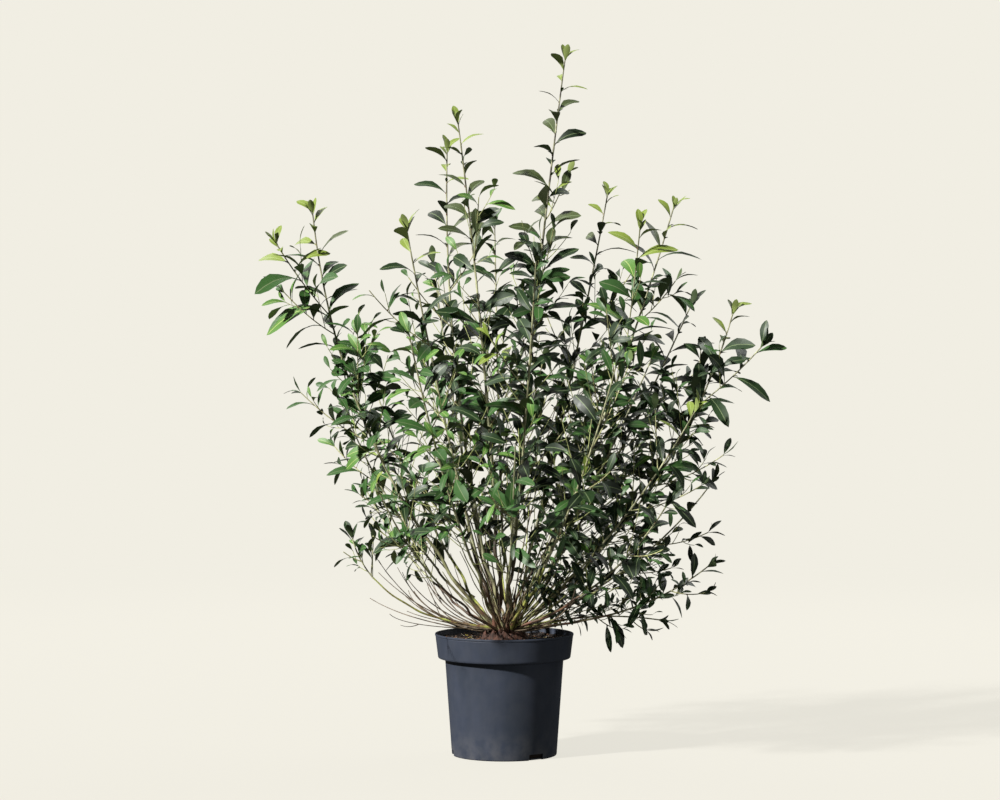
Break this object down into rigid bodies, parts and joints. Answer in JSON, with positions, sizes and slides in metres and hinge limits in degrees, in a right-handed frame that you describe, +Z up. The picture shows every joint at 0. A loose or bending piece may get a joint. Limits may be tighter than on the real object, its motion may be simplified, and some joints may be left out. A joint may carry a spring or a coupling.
{
  "type": "potted pink pussy willow shrub",
  "caption": "Shrub of many slender leafy stems fanning from a woody root crown, standing in a round plastic nursery pot filled with potting mix.",
  "frame": {"origin": "centre of the pot's flat underside", "axes": "+Z up along the pot's axis, -Y towards the side that the picture shows, +X to its right"},
  "size_m": [1.045, 0.9715, 1.446],
  "materials": {
    "pot": "satin",
    "potting_mix": "matte",
    "bark": "matte",
    "foliage": "satin"
  },
  "bodies": {
    "root": {"pot": "pot", "potting_mix": "potting_mix", "root_crown": "bark", "stem_centre_leader": "bark", "foliage_centre_leader": "foliage", "stem_centre_left_tall": "bark", "foliage_centre_left_tall": "foliage", "stem_left_tall": "bark", "foliage_left_tall": "foliage", "stem_left_front": "bark", "foliage_left_front": "foliage", "stem_left_wide": "bark", "foliage_left_wide": "foliage", "stem_centre_back": "bark", "foliage_centre_back": "foliage", "stem_right_tall": "bark", "foliage_right_tall": "foliage", "stem_right_upper": "bark", "foliage_right_upper": "foliage", "stem_right_back": "bark", "foliage_right_back": "foliage", "stem_right_wide": "bark", "foliage_right_wide": "foliage", "stem_right_inner": "bark", "foliage_right_inner": "foliage", "stem_right_thicket": "bark", "foliage_right_thicket": "foliage", "stem_right_middle": "bark", "foliage_right_middle": "foliage", "stem_right_low": "bark", "foliage_right_low": "foliage", "stem_right_trailing": "bark", "foliage_right_trailing": "foliage", "stem_left_low": "bark", "foliage_left_low": "foliage", "stem_left_middle": "bark", "foliage_left_middle": "foliage", "stem_front_tall": "bark", "foliage_front_tall": "foliage", "stem_front_left": "bark", "foliage_front_left": "foliage", "stem_front_right": "bark", "foliage_front_right": "foliage", "stem_front_low": "bark", "foliage_front_low": "foliage", "stem_back_tall": "bark", "foliage_back_tall": "foliage", "stem_back_left": "bark", "foliage_back_left": "foliage", "stem_back_right": "bark", "foliage_back_right": "foliage", "stem_back_low": "bark", "foliage_back_low": "foliage", "stem_left_back_low": "bark", "foliage_left_back_low": "foliage", "stem_right_front_low": "bark", "foliage_right_front_low": "foliage", "stem_left_front_low": "bark", "foliage_left_front_low": "foliage"}
  },
  "joints": []
}
